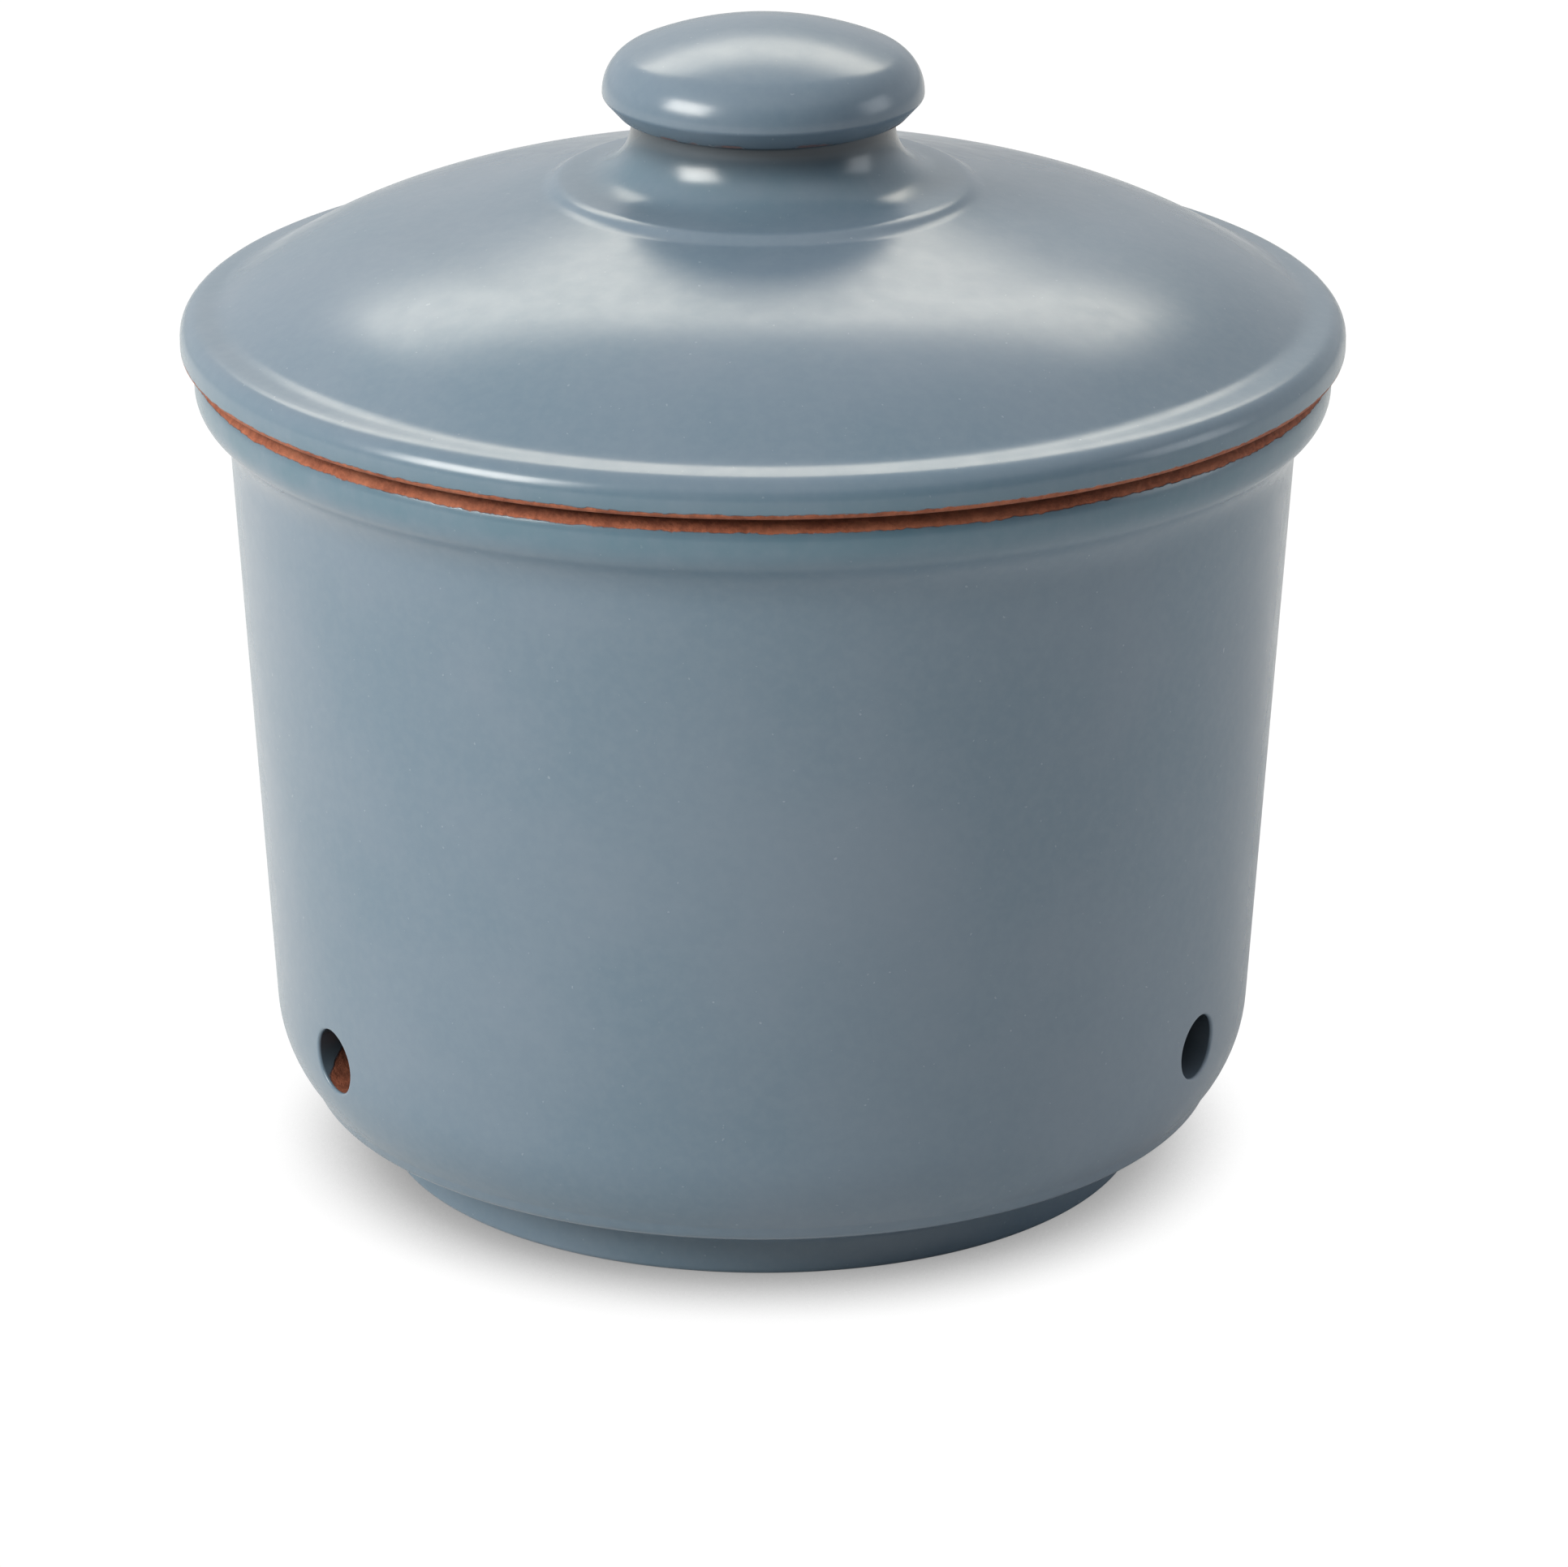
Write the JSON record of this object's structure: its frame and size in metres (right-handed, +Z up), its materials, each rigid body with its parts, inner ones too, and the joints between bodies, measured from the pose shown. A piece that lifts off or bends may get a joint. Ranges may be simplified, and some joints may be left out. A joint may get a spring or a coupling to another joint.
{
  "type": "garlic keeper",
  "caption": "Round glazed terracotta keeper for garlic: footed pot with low air vents and a lift-off domed lid with a mushroom knob.",
  "frame": {"origin": "centre of the circle that the foot ring stands on, at the standing plane", "axes": "+Z up along the turning axis of pot and lid, -Y to the front, +X to the viewer's right when seen from the front"},
  "size_m": [0.15, 0.15, 0.1516],
  "materials": {
    "glaze": "satin blue-grey glaze over red clay",
    "terracotta": "bare fired red clay, matt"
  },
  "bodies": {
    "pot": {"pot": "glaze"},
    "lid": {"lid": "glaze"}
  },
  "joints": [
    {"name": "lid_lift", "type": "slide", "parent": "pot", "child": "lid", "axis": [0, 0, 1], "range_m": [0, 0.06]}
  ]
}
